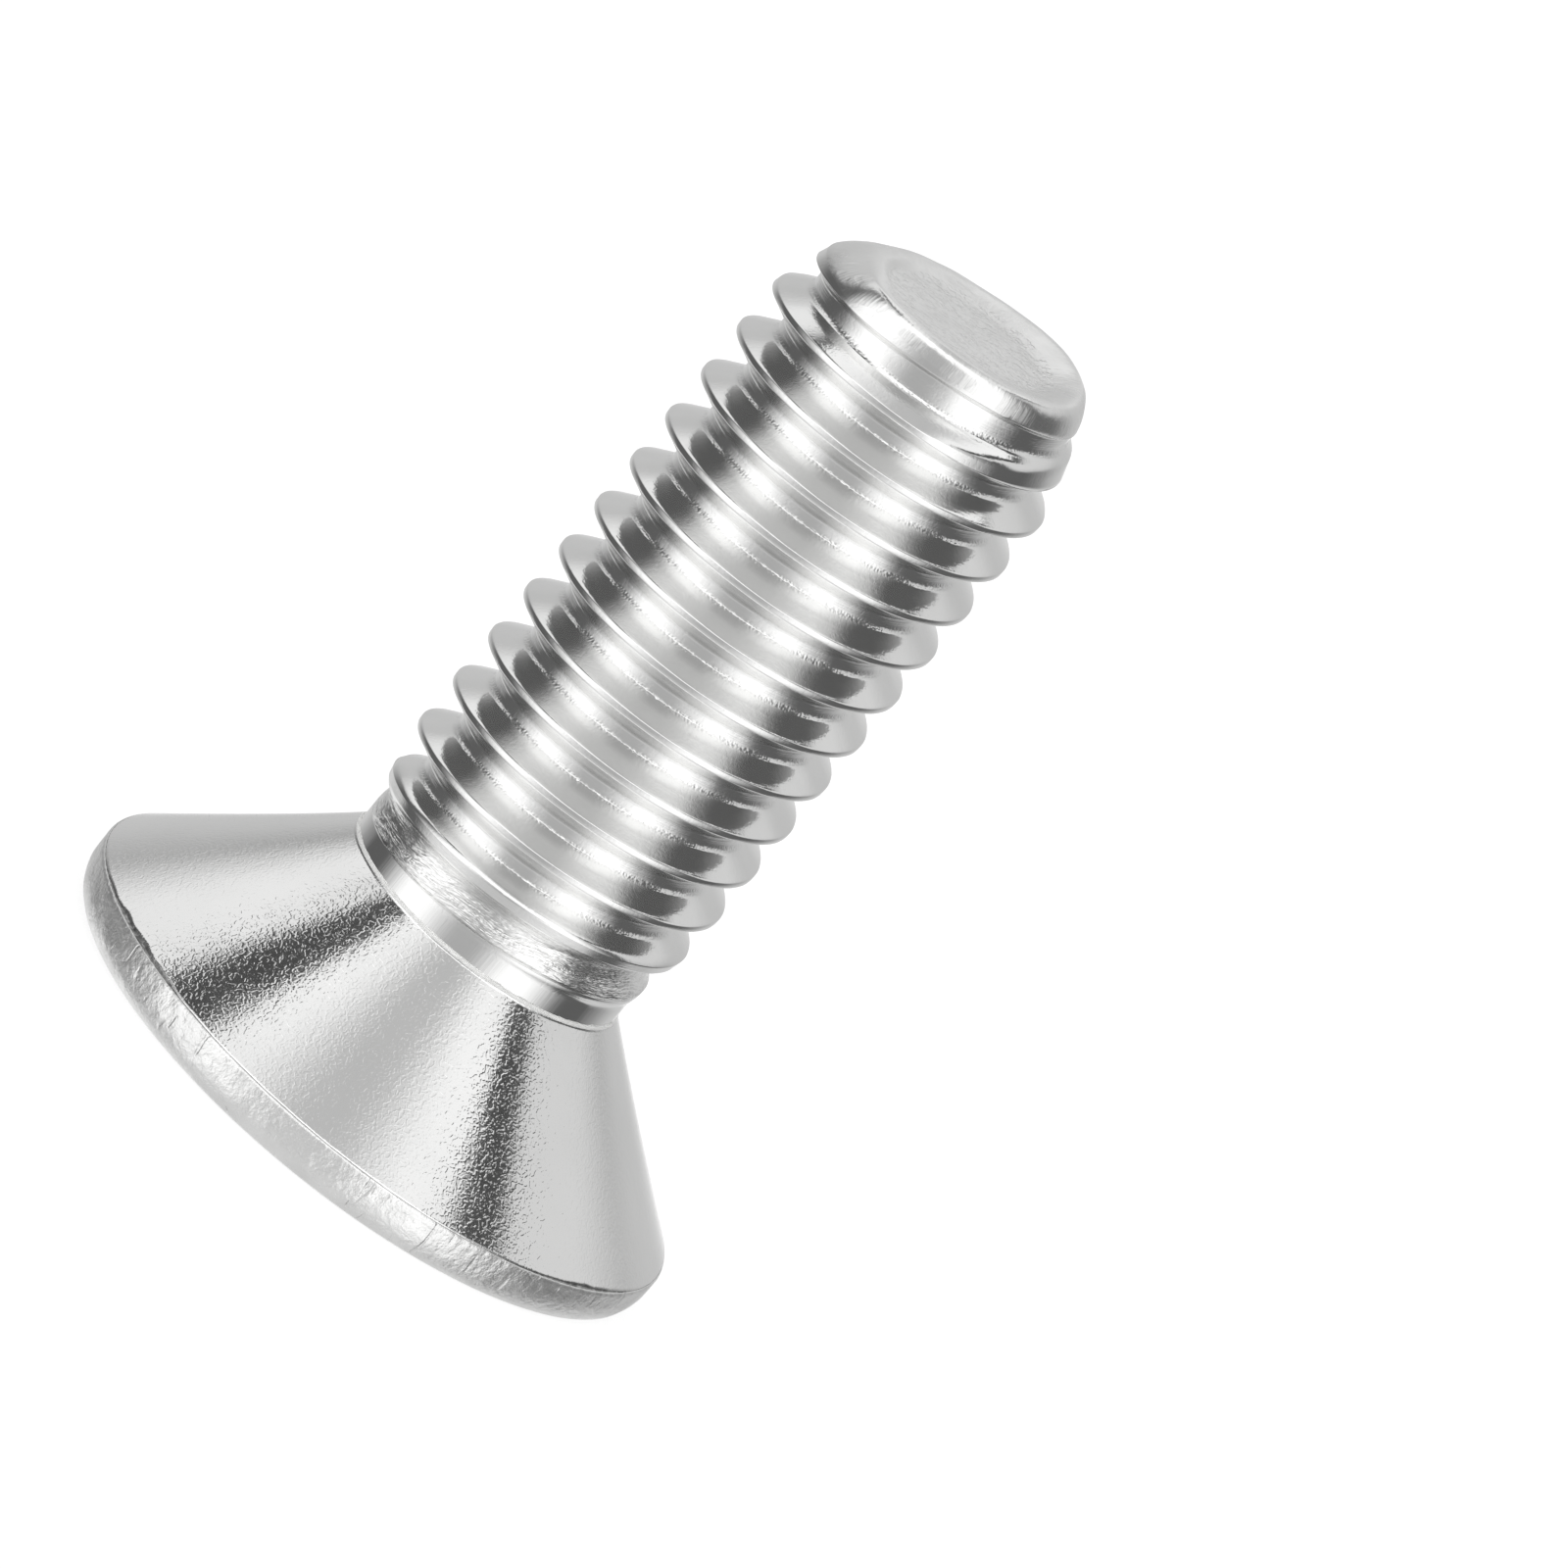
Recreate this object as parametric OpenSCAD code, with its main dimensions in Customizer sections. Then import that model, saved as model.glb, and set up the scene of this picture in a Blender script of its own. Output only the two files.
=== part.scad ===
// Countersunk screw with a hexagon socket, in millimetres.
// It stands on its head: the flat face of the head lies on z = 0 and the tip points up.

/* [Length] */
// Overall length, from the head face to the tip
length = 14; // [10:1:30]
// Plain neck between the head cone and the first groove
neck_l = 0.4; // [0.2:0.1:2]

/* [Head] */
// Largest diameter of the head, on its band
head_d = 9.75; // [8:0.05:11]
// Included angle of the countersunk cone
head_angle = 97; // [84:1:100]
// Height of the upright band around the head
band_h = 0.65; // [0.4:0.05:0.9]
// Rounding between the head face and the band
edge_r = 0.28; // [0.1:0.02:0.36]
// Rounding between the band and the cone
shoulder_r = 0.06; // [0.02:0.01:0.2]
// Fillet where the cone meets the neck
neck_fillet = 0.14; // [0.05:0.01:0.4]

/* [Socket] */
// Size of the hexagon key that fits, across its flats
key_size = 3; // [2.5:0.5:4]
// Clearance between the key and the socket, across the flats
key_play = 0.08; // [0.02:0.01:0.15]
// Depth of the six flat walls
socket_depth = 1.9; // [1.2:0.1:2.4]
// Included angle of the conical bottom
bottom_angle = 120; // [100:5:150]
// Bevel around the mouth of the socket
bevel = 0.12; // [0.04:0.01:0.2]

/* [Thread] */
// Nominal diameter of the thread
thread_d = 5; // [4:0.5:6]
// How far the rolled crests stay under the nominal diameter
crest_play = 0.07; // [0:0.01:0.15]
// Axial distance from one crest to the next
pitch = 0.8; // [0.5:0.05:1]
// Length over which the grooves fade into the neck
runout = 0.85; // [0.6:0.05:2]
// Length over which the crests next to the neck come up to their full height
crest_fill = 1.3; // [0.6:0.05:2]
// Angle by which the thread is turned about the axis
thread_turn = 162; // [0:1:359]

/* [Tip] */
// Diameter of the rim at the tip
tip_d = 4.2; // [3:0.1:4.3]
// Length of the taper that cuts the last crests
taper_l = 1.3; // [0.6:0.1:2]
// Rounding of the rim
tip_round = 0.18; // [0.05:0.01:0.3]
// Depth of the dished end
dish = 0.12; // [0.04:0.01:0.2]

/* [Hidden] */
$fn = 96;
arc_step = 15;

head_r = head_d / 2;
cone_lean = head_angle / 2;
crest_r = (thread_d - crest_play) / 2;

// A rolled 60 degree thread: its blank is as wide as the middle of the flanks
sharp_depth = pitch * cos(30);
crest_round = sharp_depth / 8;
root_round = sharp_depth / 6;
root_r = crest_r - (sharp_depth - crest_round - root_round);
neck_r = (crest_r + root_r) / 2;

// Distance along the axis from a crest to the middle of its flank
flank_x = (crest_r + crest_round - neck_r) / tan(60);

// Heights, from the head face up to the tip
cone_end_z = band_h + (head_r - neck_r) / tan(cone_lean);
neck_end_z = cone_end_z + neck_l;
rim_z = length - tip_round;

// Where the threaded rod is let into the end of the neck
rod_sink = 0.02;
rod_base_z = neck_end_z - 0.15;
groove_z = neck_end_z + 0.05;
row_gap = 0.03;
dish_share = 0.6;

// One pitch of the thread in section, as distance along the axis and radius, crest first
arc_angles = [-60, 0, 60];
profile = [
    for (a = arc_angles) [crest_round * sin(a), crest_r - crest_round * (1 - cos(a))],
    [flank_x, neck_r],
    for (a = arc_angles) [pitch / 2 + root_round * sin(a), root_r + root_round * (1 - cos(a))],
    [pitch - flank_x, neck_r]
];
rows = len(profile);
section = [each profile, for (p = profile) [p[0] + pitch, p[1]]];

// Facets around one turn, fewer on a long thread so that it stays light
thread_faces = 9600;
turns = (rim_z - neck_end_z) / pitch;
turn_steps = min(48, 4 * floor(thread_faces / (8 * rows * turns)));

// Height of a crest at angle 0, below the first groove
start_z = pitch * (floor(neck_end_z / pitch) - 3 + thread_turn / 360);

function angle_at(i) = 360 * i / turn_steps;

// Height of a row of points, which climbs one pitch in a turn
function row_z(i, j) = start_z + profile[j % rows][0] + pitch * (floor(j / rows) + i / turn_steps);

// Smooth rise from 0 to 1 over this length above the end of the neck
function rise(z, reach) =
    let (s = min(1, max(0, (z - groove_z) / reach)))
    s * s * (3 - 2 * s);

// The dies bring up little metal next to the neck, so the first crests are low and flat
function filled_r(z) = neck_r + min(1, max(0, (z - groove_z) / crest_fill)) * (crest_r - neck_r);

function taper_r(z) = tip_d / 2 + (rim_z - z) * (crest_r - tip_d / 2) / taper_l;

function thread_r(i, z) =
    let (share = (z - start_z) / pitch - i / turn_steps)
    let (full_r = lookup(pitch * (share - floor(share)), section))
    let (grown = rise(z, full_r < neck_r ? runout : runout / 2))
    min(neck_r + grown * (full_r - neck_r), filled_r(z), taper_r(z));

function point_at(i, r, z) = [r * cos(angle_at(i)), r * sin(angle_at(i)), z];

// All points of the rod above one another at one angle, from its base to the dished end
function column(i) =
    let (first = [for (j = 0; row_z(i, j) < groove_z + row_gap; j = j + 1) j])
    let (last = [for (j = 0; row_z(i, j) < rim_z - row_gap; j = j + 1) j])
    let (rim_r = thread_r(i, rim_z))
    [
        point_at(i, neck_r - rod_sink, rod_base_z),
        point_at(i, neck_r, groove_z),
        for (j = [len(first) : len(last) - 1]) point_at(i, thread_r(i, row_z(i, j)), row_z(i, j)),
        for (a = [0 : 30 : 90])
            point_at(i, rim_r - tip_round + tip_round * cos(a), rim_z + tip_round * sin(a)),
        point_at(i, dish_share * tip_d / 2, length - dish)
    ];

// Running sums, which say where each column starts in the list of points
function starts(counts) = [for (i = 0, sum = 0; i < len(counts); sum = sum + counts[i], i = i + 1) sum];

// How far up its column a point comes: the last one lies in the dish, past the top of the rim
function climb(points, k) = k == len(points) - 1 ? length + dish : points[k][2];

// The side of a strip whose next point is the lower one takes the next rung
function left_next(left, right, a, b) =
    b == len(right) - 1 || (a < len(left) - 1 && climb(left, a + 1) <= climb(right, b + 1));

// Rungs of the ladder of triangles between two neighbouring columns, as pairs of point numbers
function rungs(left, right) = [
    for (
        p = [0, 0];
        p[0] < len(left);
        p = left_next(left, right, p[0], p[1]) ? [p[0] + 1, p[1]] : [p[0], p[1] + 1]
    ) p
];

function ladder(pairs, left_start, right_start) = [
    for (k = [0 : len(pairs) - 2])
        let (p = pairs[k], q = pairs[k + 1])
        q[0] > p[0]
            ? [left_start + p[0], left_start + q[0], right_start + p[1]]
            : [left_start + p[0], right_start + q[1], right_start + p[1]]
];

// Flat face, band, cone and neck in one turned outline
module head_blank() {
    fillet_turn = neck_fillet * tan(cone_lean / 2);
    shoulder_turn = shoulder_r * tan(cone_lean / 2);
    rotate_extrude()
        polygon([
            [0, 0],
            for (a = [0 : arc_step : 90])
                [head_r - edge_r + edge_r * sin(a), edge_r - edge_r * cos(a)],
            for (k = [0 : 4])
                let (a = cone_lean * k / 4)
                [head_r - shoulder_r + shoulder_r * cos(a), band_h - shoulder_turn + shoulder_r * sin(a)],
            for (k = [0 : 4])
                let (a = cone_lean * (1 - k / 4))
                [neck_r + neck_fillet - neck_fillet * cos(a), cone_end_z + fillet_turn - neck_fillet * sin(a)],
            [neck_r, neck_end_z],
            [0, neck_end_z]
        ]);
}

// Hexagon hole with a bevelled mouth and a conical bottom
module socket() {
    corner_r = (key_size + key_play) / 2 / cos(30);
    cone_depth = corner_r / tan(bottom_angle / 2);
    intersection() {
        translate([0, 0, -1])
            linear_extrude(1 + socket_depth + cone_depth)
                circle(corner_r, $fn = 6);
        union() {
            translate([0, 0, -2])
                cylinder(h = 2 + socket_depth, r = 2 * corner_r);
            translate([0, 0, socket_depth])
                cylinder(h = cone_depth, r1 = corner_r, r2 = 0);
        }
    }
    translate([0, 0, -bevel])
        cylinder(h = 2 * bevel, r1 = corner_r + 2 * bevel / cos(30), r2 = corner_r, $fn = 6);
}

// Rod with the helical thread, its run-out into the neck, and the tapered, dished tip
module threaded_rod() {
    columns = [for (i = [0 : turn_steps - 1]) column(i)];
    first = starts([for (c = columns) len(c)]);
    next = [for (i = [0 : turn_steps - 1]) (i + 1) % turn_steps];
    polyhedron(
        points = [for (c = columns) each c],
        faces = [
            [for (i = [0 : turn_steps - 1]) first[i]],
            for (i = [0 : turn_steps - 1])
                each ladder(rungs(columns[i], columns[next[i]]), first[i], first[next[i]]),
            [for (i = [turn_steps - 1 : -1 : 0]) first[i] + len(columns[i]) - 1]
        ]
    );
}

module screw() {
    color("silver")
        difference() {
            union() {
                head_blank();
                threaded_rod();
            }
            socket();
        }
}

screw();
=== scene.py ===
"""A countersunk socket screw, standing on its head on a pale table in a soft studio."""

import math
from collections import namedtuple

import bpy
import numpy as np
from mathutils import Matrix, Vector, noise


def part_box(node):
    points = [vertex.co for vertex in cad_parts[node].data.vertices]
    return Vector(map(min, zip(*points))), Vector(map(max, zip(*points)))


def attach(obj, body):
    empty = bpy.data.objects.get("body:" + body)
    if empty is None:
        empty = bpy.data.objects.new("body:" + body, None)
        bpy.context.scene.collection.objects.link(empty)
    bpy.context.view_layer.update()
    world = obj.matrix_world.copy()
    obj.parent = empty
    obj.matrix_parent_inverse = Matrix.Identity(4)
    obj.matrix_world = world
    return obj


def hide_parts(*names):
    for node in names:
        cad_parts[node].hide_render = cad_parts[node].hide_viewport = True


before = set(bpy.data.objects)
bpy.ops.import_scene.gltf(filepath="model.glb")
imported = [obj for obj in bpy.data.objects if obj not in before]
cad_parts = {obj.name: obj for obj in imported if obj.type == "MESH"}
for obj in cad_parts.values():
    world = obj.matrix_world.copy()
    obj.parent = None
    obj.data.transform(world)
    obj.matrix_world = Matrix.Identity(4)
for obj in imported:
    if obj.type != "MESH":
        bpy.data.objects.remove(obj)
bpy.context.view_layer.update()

# Sizes are in millimetres, the overall ones from the frame; 270 degrees is the front of the screw
MM = 0.001
low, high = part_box("screw")
LENGTH = (high.z - low.z) / MM
HEAD_R = (high.x - low.x) / MM / 2

# A soft hump around the axis: its height, its middle and its spread, both in degrees
Hump = namedtuple("Hump", "height middle spread")

# Unevenness of the metal: size and height of its smooth bumps, and the seed of its noise
Bumps = namedtuple("Bumps", "size height seed")
SEED_STEP = 17.3

# Thread: a rolled 60 degree section, with its crest cut nearly flat and its root rounded
PITCH = 0.8
THREAD_TURN = 162
CREST_R = 2.465
CREST_CUT = 0.075
CREST_SOFT = 0.02
SHARP_DEPTH = PITCH * math.cos(math.radians(30))
ROOT_R = CREST_R - SHARP_DEPTH * 5 / 8
ROOT_SOFT_ABOVE = 0.11
ROOT_SOFT_BELOW = 0.05
FLANK_SLOPE = math.sqrt(3)
NECK_R = 2.22

# What rolling leaves on the rod, with its noise read on a cylinder of this radius
ROLLED_AT_R = 2.4
ROLLED_WAVES = Bumps(0.45, 0.004, 1)
ROLLED_RIPPLES = Bumps(0.25, 0.0015, 2)

# Head: its band sits a little to the right, and the rounded edge is higher than it is wide
BAND_H = 0.65
CONE_LEAN = math.radians(48.5)
CONE_END_Z = BAND_H + (HEAD_R - NECK_R) / math.tan(CONE_LEAN)
RIM_SHIFT = 0.06
EDGE_R = 0.19
EDGE_H = 0.42
EDGE_WIDER = Hump(0.13, 180, 60)
SHOULDER_R = 0.07
BAND_LUMPS = Bumps(0.55, 0.016, 3)
BAND_NOISE_R = 4.9

# Seam between band and cone: a fine step, which opens on the left and right of the front; its steel
# is darkened as painted shade
SEAM_W = 0.006
SEAM_OPEN_LEFT = Hump(0.05, 221, 15)
SEAM_OPEN_RIGHT = Hump(0.03, 329, 12)
SEAM_UNEVEN = Bumps(0.2, 0.5, 8)
SEAM_STEPS = ((0.7, 0.0), (1.0, 0.3), (1.0, 1 / math.tan(CONE_LEAN)))

# Bead where the cone, which turns up a little at its end, meets the neck; its steel is paler than
# the rest as a painted highlight line
CONE_RISE = 0.08
BEAD_R = 0.024
BEAD_UNEVEN = Bumps(0.12, 0.5, 9)
CONE_LINE_Z = CONE_END_Z - BEAD_R / math.tan(CONE_LEAN)
BEAD_Z = CONE_LINE_Z + CONE_RISE
BEAD_FOOT = (BEAD_Z + 2 * BEAD_R, BEAD_Z + 2.4 * BEAD_R)
NECK_Z = BEAD_Z + 2.5 * BEAD_R

# Run-out: the grooves reach their depth soon, the crests their height later
GROOVE_Z = CONE_END_Z + 0.42
NECK_END_Z = GROOVE_Z - 0.03
RUNOUT = 0.85
CREST_FILL = 1.35
FILL_EARLY = 0.05
FILL_OVER = 0.03
FILL_SOFT = 0.015

# Undercut: a fine groove on the lower flank of the first turn
UNDERCUT = 0.04
UNDERCUT_W = 0.03
UNDERCUT_BELOW = 0.17
UNDERCUT_END_Z = GROOVE_Z + 0.9
UNDERCUT_FADE = 0.2

# Socket
SOCKET_FLATS = 3.08
SOCKET_DEPTH = 1.9
SOCKET_BEVEL = 0.12
BOTTOM_LEAN = math.radians(60)
SOCKET_CORNER = SOCKET_FLATS / 2 / math.cos(math.pi / 6)
APEX_Z = SOCKET_DEPTH + SOCKET_CORNER / math.tan(BOTTOM_LEAN)

# Tip: a taper cuts the last crests, and leaves more of them in front
RIM_Z = LENGTH - 0.17
TIP_R = 2.05
TAPER = 0.3
TAPER_SOFT = 0.03
FULL_CREST = Hump(0.25, 250, 50)
FULL_BELOW = 0.3
FULL_FADE = 0.3

# Lip: metal that is pushed over at the tip and carries the last turn of the thread up
LIP = Hump(0.16, 285, 62)
LIP_REACH = 0.56
LIP_FADE = 0.3
LIP_ROUNDS = 60

# Wear of the rim, which is worn round on the left and a little on the right
WORN_LEFT = 186
WORN_FRONT = 53
WORN_FRONT_FADE = 14
WORN_BACK = 85
WORN_BACK_FADE = 65
WORN_RIGHT = Hump(0.25, 0, 34)
WORN_OUT = 0.03
WORN_DROP = 0.18
WORN_WIDTH = 0.5
WORN_WIDTH_FADE = 40
WORN_BEND = math.radians(48)
WORN_BEND_GAIN = 1.6

# Rim: it is tilted, with a dip and a hump, and turns inwards to a dished end
RIM_DROP = 0.08
RIM_ROUND = 0.16
RIM_TILT = 0.09
RIM_TILT_AT = math.radians(-20)
RIM_DIP = Hump(0.02, 135, 40)
RIM_HUMP = Hump(0.1, 48, 38)
RIM_WAVES = Bumps(0.5, 0.012, 5)
RIM_WAVES_R = 2
RIM_UNEVEN = Bumps(0.3, 0.015, 6)
RIM_UNEVEN_R = 1
DISH = 0.13
FLOOR_R = 1.2
FLOOR_LIFT = 0.4
FLOOR_BUMPS = Bumps(0.4, 0.012, 7)

# Mesh: columns around the axis, a number that puts one on each corner of the hexagon
COLUMNS = 192
ANGLES = np.arange(COLUMNS) * (2 * math.pi / COLUMNS)

# Rings on each stretch, and as shares of it those that lie close beside a sharp edge
NEAR_EDGE = [0.01, 0.03]
FACE_STEPS = 14
EDGE_STEPS = 11
BAND_STEPS = 4
SHOULDER_STEPS = 6
CONE_STEPS = 18
BEAD_STEPS = 6
NECK_STEPS = 6
ROUNDING_STEPS = 10
DISH_STEPS = 8
FLOOR_STEPS = 12
FLOOR_END = 0.97

# Strips of the tip that are made of the rim's steel, counted from outside
RIM_STRIPS = 15

# Rows of points on one turn of the thread, by their height above its crest
CREST_ROWS = [-0.07, -0.055, -0.043, -0.032, 0, 0.032, 0.043, 0.055, 0.07]
UPPER_FLANK_ROWS = [0.14, 0.2, 0.24, 0.27, 0.3, 0.325, 0.35]
ROOT_ROWS = [0.4, 0.45, 0.48, 0.5, 0.52]
NEXT_FLANK_ROWS = [0.57, 0.6, 0.63, 0.66]
SPARE_TURNS = 3

# Rows end this far below the rim, and count as level when they differ by no more than this
TOP_GAP = 0.02
SAME_HEIGHT = 1e-6


def smooth_step(x):
    x = np.clip(x, 0, 1)
    return x * x * (3 - 2 * x)


def soft_min(a, b, width):
    """The smaller of the two, with their meeting rounded over this width."""
    d = np.maximum(width - np.abs(a - b), 0)
    return np.minimum(a, b) - d * d / (4 * width)


def degrees_past(angle, middle):
    """How many degrees an angle lies past this place around the axis, from -180 to 180."""
    return (np.degrees(angle) - middle + 180) % 360 - 180


def hump_at(angle, hump):
    return hump.height * np.exp(-((degrees_past(angle, hump.middle) / hump.spread) ** 2))


def uneven(x, y, z, bumps):
    """Smooth noise about zero, with bumps of this size and height."""
    spots = np.broadcast_arrays(x, y, z)
    flat = [np.ravel(s) / bumps.size + bumps.seed * SEED_STEP for s in spots]
    values = [noise.noise(Vector(p)) for p in zip(*flat)]
    return bumps.height * np.array(values).reshape(spots[0].shape)


def uneven_ring(r, z, bumps):
    """The same noise at each column of a ring."""
    return uneven(r * np.cos(ANGLES), r * np.sin(ANGLES), z, bumps)


def ring(r, z):
    """Points of one ring, from a radius and a height that may change around it."""
    r = np.broadcast_to(np.asarray(r, dtype=float), COLUMNS)
    z = np.broadcast_to(np.asarray(z, dtype=float), COLUMNS)
    return np.stack([r * np.cos(ANGLES), r * np.sin(ANGLES), z], axis=1)


def hexagon(flats):
    """Distance from the axis to the wall of a hexagon, at each column."""
    sixth = math.pi / 3
    return flats / 2 / np.cos(ANGLES % sixth - sixth / 2)


def spread(start, end, steps):
    """Even steps from start to end, without the start itself."""
    return [start + (end - start) * (k + 1) / steps for k in range(steps)]


# Each list of rings pairs the points of a ring with the zone of the strip that leads to it

def socket_rings():
    """Hexagon socket, from its conical bottom out to the bevelled mouth."""
    wall = hexagon(SOCKET_FLATS)
    mouth = hexagon(SOCKET_FLATS + 2 * SOCKET_BEVEL)
    slope = math.tan(BOTTOM_LEAN)
    wall_top = APEX_Z - wall / slope
    rings = []
    for share in [0.02, 0.05] + spread(0.05, 0.97, 8) + [0.985, 1]:
        rings.append((ring(share * wall, APEX_Z - share * wall / slope), "socket"))
    for share in [0.02, 0.05, 0.2, 0.5, 0.8, 0.96, 0.99, 1]:
        rings.append((ring(wall, wall_top + (SOCKET_BEVEL - wall_top) * share), "socket"))
    for share in [0.15, 0.5, 0.85, 1]:
        rings.append((ring(wall + (mouth - wall) * share, SOCKET_BEVEL * (1 - share)), "socket"))
    return rings


def band_radius():
    return HEAD_R + RIM_SHIFT * np.cos(ANGLES)


def edge_width():
    return EDGE_R + hump_at(ANGLES, EDGE_WIDER)


def face_rings():
    """Flat face, from the mouth of the socket to the rounded edge."""
    mouth = hexagon(SOCKET_FLATS + 2 * SOCKET_BEVEL)
    face_r = band_radius() - edge_width()
    shares = NEAR_EDGE + spread(NEAR_EDGE[-1], 1, FACE_STEPS)
    return [(ring(mouth + (face_r - mouth) * share, 0), "face") for share in shares]


def edge_rings():
    """Rounded edge from the face to the band, whose forged lumps grow towards the band."""
    edge_r = edge_width()
    face_r = band_radius() - edge_r
    rings = []
    for bend in spread(0, math.pi / 2, EDGE_STEPS):
        z = EDGE_H * (1 - math.cos(bend))
        lump = uneven_ring(BAND_NOISE_R, z, BAND_LUMPS) * math.sin(bend)
        rings.append((ring(face_r + edge_r * math.sin(bend) - np.abs(lump), z), "band"))
    return rings


def shoulder_point(bend):
    """Radius and height around the head where the band has bent over to the cone by this much."""
    to_neck = (band_radius() - NECK_R) / math.tan(CONE_LEAN)
    start_z = CONE_END_Z - to_neck - SHOULDER_R * math.tan(CONE_LEAN / 2)
    r = band_radius() - SHOULDER_R * (1 - math.cos(bend))
    return r, start_z + SHOULDER_R * math.sin(bend)


def band_rings():
    """Upright band, whose lumps fade upwards, and its shoulder."""
    band_r, top_z = shoulder_point(0)
    rings = []
    for share in spread(0, 1, BAND_STEPS):
        z = EDGE_H + (top_z - EDGE_H) * share
        lump = np.abs(uneven_ring(BAND_NOISE_R, z, BAND_LUMPS)) * (1 - share)
        rings.append((ring(band_r - lump, z), "band"))
    for bend in spread(0, CONE_LEAN, SHOULDER_STEPS):
        rings.append((ring(*shoulder_point(bend)), "band"))
    return rings


def seam_width():
    width = SEAM_W + hump_at(ANGLES, SEAM_OPEN_LEFT) + hump_at(ANGLES, SEAM_OPEN_RIGHT)
    return width * (1 + uneven_ring(BAND_NOISE_R, 0, SEAM_UNEVEN))


def seam_rings():
    """Seam as a step inwards and up to the cone, in shares of its width."""
    start_r, start_z = shoulder_point(CONE_LEAN)
    width = seam_width()
    rings = []
    for inwards, upwards in SEAM_STEPS:
        rings.append((ring(start_r - width * inwards, start_z + width * upwards), "seam"))
    return rings


def cone_rings():
    """Cone, which turns up a little before the neck."""
    shoulder_r, shoulder_z = shoulder_point(CONE_LEAN)
    width = seam_width()
    start_r = shoulder_r - width
    start_z = shoulder_z + width / math.tan(CONE_LEAN)
    end_r = NECK_R + BEAD_R
    rings = []
    for share in NEAR_EDGE + spread(NEAR_EDGE[-1], 0.99, CONE_STEPS) + [1]:
        r = start_r + (end_r - start_r) * share
        z = start_z + (CONE_LINE_Z - start_z) * share + CONE_RISE * share**3
        rings.append((ring(r, z), "cone"))
    return rings


def bead_rings():
    bead_r = BEAD_R * (1 + uneven_ring(NECK_R + BEAD_R, 0, BEAD_UNEVEN))
    rings = []
    for bend in spread(-math.pi / 3, math.pi / 2, BEAD_STEPS):
        r = NECK_R + BEAD_R / 2 + bead_r * math.cos(bend)
        rings.append((ring(r, BEAD_Z + bead_r * (1 + math.sin(bend))), "bead"))
    return rings + [(ring(NECK_R, z), "bead") for z in BEAD_FOOT]


def neck_rings():
    return [(ring(NECK_R, z), "neck") for z in spread(NECK_Z, NECK_END_Z, NECK_STEPS)]


def thread_section(x):
    """Radius of the full thread at this distance along the axis above the nearest crest."""
    flank = CREST_R + CREST_CUT - np.abs(x) * FLANK_SLOPE
    crest = soft_min(flank, CREST_R, CREST_SOFT)
    root_soft = np.where(x > 0, ROOT_SOFT_ABOVE, ROOT_SOFT_BELOW)
    return -soft_min(-crest, -ROOT_R, root_soft)


def undercut(from_crest, z):
    first_turn = smooth_step((UNDERCUT_END_Z - z) / UNDERCUT_FADE)
    across = (from_crest + UNDERCUT_BELOW) / UNDERCUT_W
    return UNDERCUT * first_turn * np.exp(-(across**2))


def run_out(section, z):
    """The section's radius, with its grooves and crests fading towards the neck."""
    depth = smooth_step((z - GROOVE_Z) / RUNOUT)
    height = smooth_step((z - GROOVE_Z) / (RUNOUT / 2))
    grown = np.where(section < NECK_R, depth, height)
    r = NECK_R + grown * (section - NECK_R)
    filled = np.clip((z - GROOVE_Z + FILL_EARLY) / CREST_FILL, 0, 1)
    return soft_min(r, NECK_R + filled * (CREST_R + FILL_OVER - NECK_R), FILL_SOFT)


def rim_wear(angle, front_fade=WORN_FRONT_FADE):
    """How much of the rim is worn round, from 0 to about 1; it ends over these degrees in front."""
    past = degrees_past(angle, WORN_LEFT)
    in_front = smooth_step((WORN_FRONT - past) / front_fade)
    behind = smooth_step((WORN_BACK + past) / WORN_BACK_FADE)
    return in_front * behind + hump_at(angle, WORN_RIGHT)


def taper_r(angle, z):
    """Radius of the taper at the tip."""
    below_rim = RIM_Z - z
    r = TIP_R + WORN_OUT * rim_wear(angle) + TAPER * below_rim
    return r + hump_at(angle, FULL_CREST) * smooth_step((below_rim - FULL_BELOW) / FULL_FADE)


def lip_shift(angle, z):
    """How far the lip carries the thread up here; its start climbs with the helix."""
    start_z = RIM_Z - LIP_REACH + PITCH * degrees_past(angle, LIP.middle) / 360
    return smooth_step((z - start_z) / LIP_FADE) * hump_at(angle, LIP)


def rod_r(angle, z):
    """Radius of the threaded rod, with its run-out at the neck and its taper at the tip."""
    turns = (z - lip_shift(angle, z)) / PITCH - THREAD_TURN / 360 - angle / (2 * math.pi)
    from_crest = (turns - np.round(turns)) * PITCH
    section = thread_section(from_crest) - undercut(from_crest, z)
    return soft_min(run_out(section, z), taper_r(angle, z), TAPER_SOFT)


def rolled_rod_r(angle, z):
    """The rod's radius with the small unevenness that rolling leaves."""
    x, y = ROLLED_AT_R * np.cos(angle), ROLLED_AT_R * np.sin(angle)
    waves = uneven(x, y, z, ROLLED_WAVES)
    return rod_r(angle, z) + waves + uneven(x, y, z, ROLLED_RIPPLES)


def helix_rows():
    """Heights of all rows of points above the first crest, with twice as many at the tip."""
    one_turn = np.array(CREST_ROWS + UPPER_FLANK_ROWS + ROOT_ROWS + NEXT_FLANK_ROWS)
    turns = np.arange(0, int(LENGTH / PITCH) + SPARE_TURNS)
    rows = (turns[:, None] * PITCH + one_turn).ravel()
    between = (rows[1:] + rows[:-1]) / 2
    return np.sort(np.concatenate([rows, between[between > RIM_Z - PITCH]]))


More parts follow.
